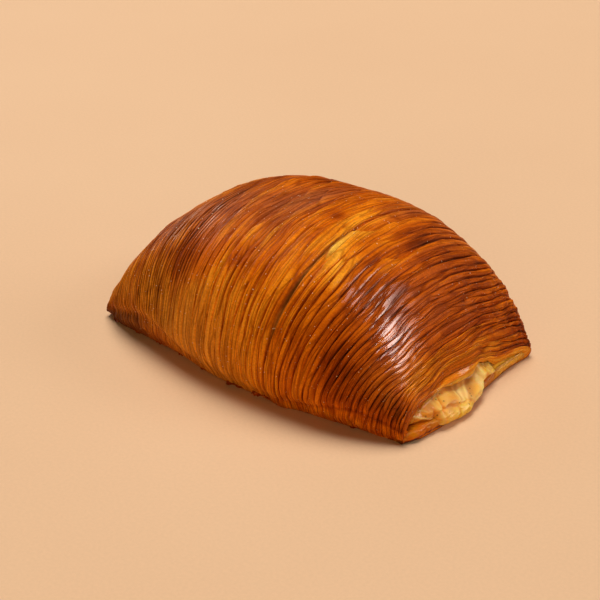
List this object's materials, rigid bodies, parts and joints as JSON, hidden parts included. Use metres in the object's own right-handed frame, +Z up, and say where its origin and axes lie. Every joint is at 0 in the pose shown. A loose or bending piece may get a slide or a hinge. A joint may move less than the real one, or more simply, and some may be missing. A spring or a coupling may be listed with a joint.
{
  "type": "turnover pastry",
  "caption": "Baked puff turnover: a plump domed crust with fine layer ridges, pinched ends, and pale fruit filling showing at one open end.",
  "frame": {"origin": "middle of the flat base, on the surface it rests on, centred on the outline in X and Y", "axes": "+X from the pinched closed end to the open end, along the long side; +Y across; +Z up"},
  "size_m": [0.1364, 0.0984, 0.0494],
  "materials": {
    "crust": "egg-washed and baked golden brown, slightly glossy, ridged by the layers of dough",
    "filling": "pale, moist, slightly clear cooked fruit with dark specks"
  },
  "bodies": {
    "root": {"crust": "crust", "filling": "filling"}
  },
  "joints": []
}
